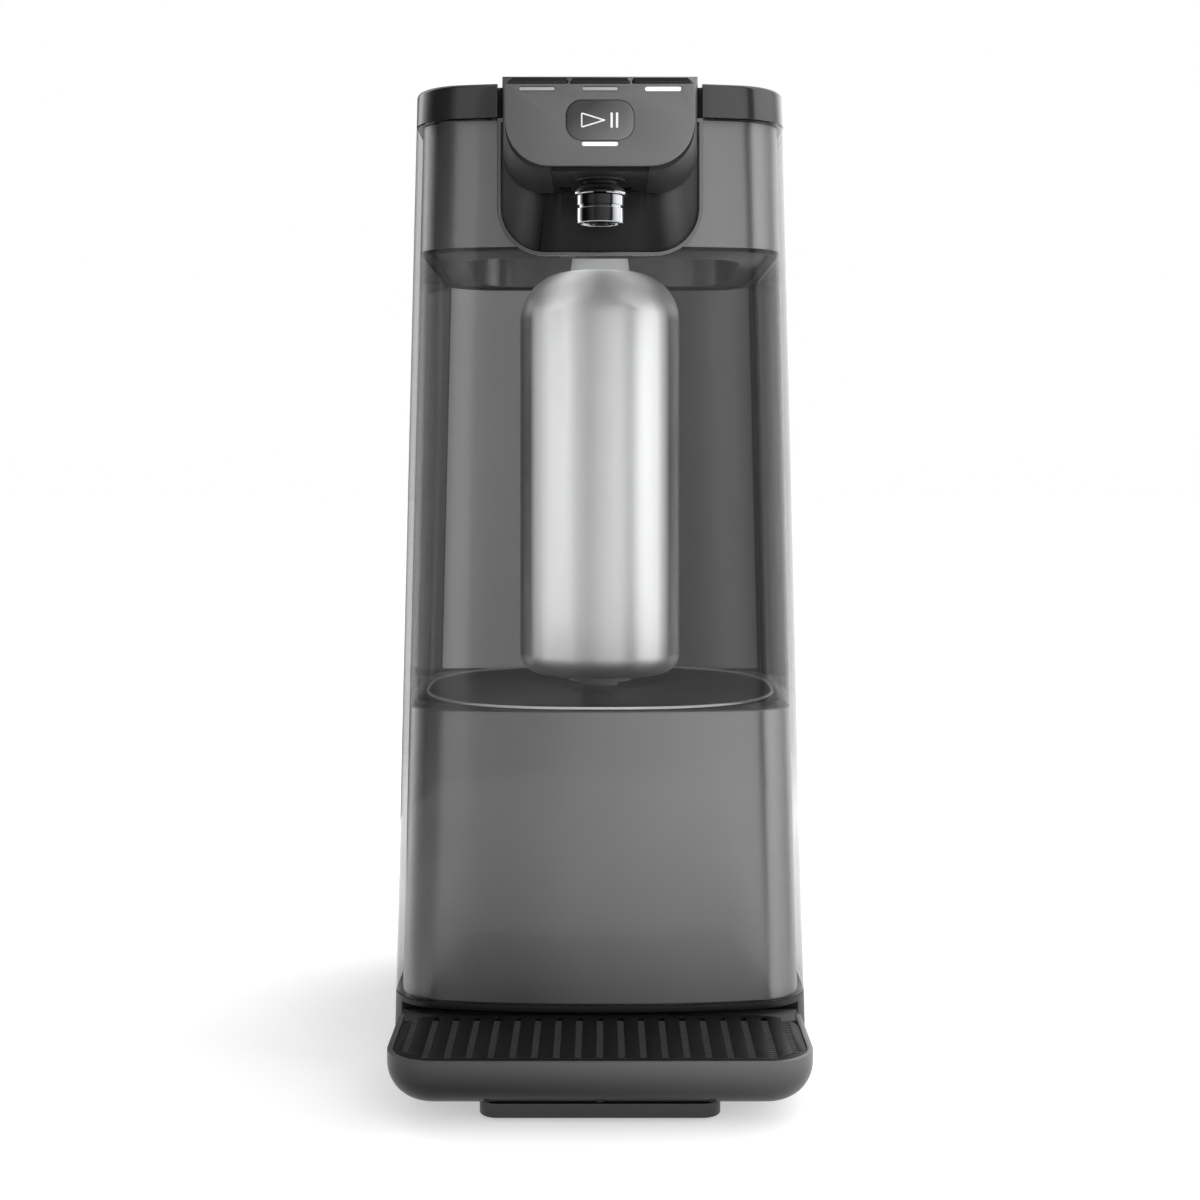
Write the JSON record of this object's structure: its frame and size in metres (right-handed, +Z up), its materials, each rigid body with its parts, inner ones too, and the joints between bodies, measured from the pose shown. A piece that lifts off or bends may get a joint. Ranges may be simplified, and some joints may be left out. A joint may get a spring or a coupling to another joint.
{
  "type": "countertop water dispenser",
  "caption": "Slim countertop water dispenser: smoked clear column with tank and filter, head with spout and press buttons, lift-up lid and slide-out drip tray.",
  "frame": {"origin": "centre of the bounding box, on the worktop under the feet", "axes": "+Z up, -Y towards the user (spout, buttons and tray), +X to the user's right"},
  "size_m": [0.1466, 0.2247, 0.3473],
  "materials": {
    "smoked_clear": "gloss, see-through smoke",
    "tank_clear": "gloss, see-through smoke",
    "gloss_black": "high gloss",
    "satin_grey": "satin",
    "satin_dark": "satin",
    "liner_grey": "satin",
    "matte_black": "matt",
    "rubber_black": "matt",
    "chrome": "polished",
    "canister_metal": "satin metal",
    "steel": "plain",
    "light_grey": "satin",
    "circuit_green": "satin",
    "hose_clear": "satin",
    "light_off": "frosted",
    "light_on": "frosted, lit"
  },
  "bodies": {
    "cabinet": {"front_pad": "rubber_black", "rear_feet": "rubber_black", "front_foot": "satin_dark", "base_pan": "satin_dark", "base_screws": "steel", "front_shell": "smoked_clear", "rear_cover": "satin_dark", "rear_screws": "steel", "cable_gland": "matte_black", "lower_housing": "liner_grey", "tank": "tank_clear", "tank_gasket": "rubber_black", "back_panel": "liner_grey", "upper_collar": "liner_grey", "bay_cover": "satin_dark", "tank_fitting": "light_grey", "pump_motor": "steel", "pump_head": "matte_black", "pump_cradle": "rubber_black", "heater": "steel", "heater_clips": "steel", "power_board": "circuit_green", "power_parts": "matte_black", "suction_hose": "hose_clear", "feed_hose": "hose_clear", "riser_hose": "hose_clear", "dispense_valve": "light_grey", "spout_hose": "hose_clear", "spout_panel": "gloss_black", "panel_bead": "chrome", "head_shell": "satin_grey", "head_cover": "matte_black", "head_face": "satin_grey", "head_screws": "steel", "control_board": "circuit_green", "mode_switches": "matte_black", "face_board": "circuit_green", "play_switch": "matte_black", "light_bar_left": "light_off", "light_bar_centre": "light_off", "light_bar_right": "light_on", "play_light_bar": "light_on", "spout_neck": "matte_black", "spout_collar": "chrome", "spout_barrel": "chrome", "aerator": "chrome", "lid_hinge_pin": "steel"},
    "lid": {"lid": "gloss_black", "lid_seal": "rubber_black"},
    "filter": {"filter_canister": "canister_metal", "filter_neck": "light_grey", "filter_nipple": "light_grey", "filter_o_ring": "rubber_black"},
    "mode_button_left": {"mode_button_left": "gloss_black"},
    "mode_button_centre": {"mode_button_centre": "gloss_black"},
    "mode_button_right": {"mode_button_right": "gloss_black"},
    "play_button": {"play_button": "gloss_black"},
    "drip_tray": {"drip_tray": "satin_dark"},
    "grille": {"grille": "matte_black"}
  },
  "joints": [
    {"name": "lid_hinge", "type": "hinge", "parent": "cabinet", "child": "lid", "pos_m": [0, 0.10915, 0.3318], "axis": [-1, 0, 0], "range_deg": [0, 95]},
    {"name": "filter_turn", "type": "hinge", "parent": "cabinet", "child": "filter", "pos_m": [0, 0.00965, 0.2], "axis": [0, 0, 1], "range_deg": [0, 60]},
    {"name": "mode_button_left_press", "type": "slide", "parent": "cabinet", "child": "mode_button_left", "axis": [0, 0.2521, -0.9677], "range_m": [0, 0.0012], "stiffness_N_per_m": 400, "springref_m": -0.0006},
    {"name": "mode_button_centre_press", "type": "slide", "parent": "cabinet", "child": "mode_button_centre", "axis": [0, 0.2521, -0.9677], "range_m": [0, 0.0012], "stiffness_N_per_m": 400, "springref_m": -0.0006},
    {"name": "mode_button_right_press", "type": "slide", "parent": "cabinet", "child": "mode_button_right", "axis": [0, 0.2521, -0.9677], "range_m": [0, 0.0012], "stiffness_N_per_m": 400, "springref_m": -0.0006},
    {"name": "play_button_press", "type": "slide", "parent": "cabinet", "child": "play_button", "axis": [0, 1, 0], "range_m": [0, 0.0012], "stiffness_N_per_m": 400, "springref_m": -0.0006},
    {"name": "tray_slide", "type": "slide", "parent": "cabinet", "child": "drip_tray", "axis": [0, -1, 0], "range_m": [0, 0.07]},
    {"name": "grille_lift", "type": "slide", "parent": "drip_tray", "child": "grille", "axis": [0, 0, 1], "range_m": [0, 0.02]}
  ]
}
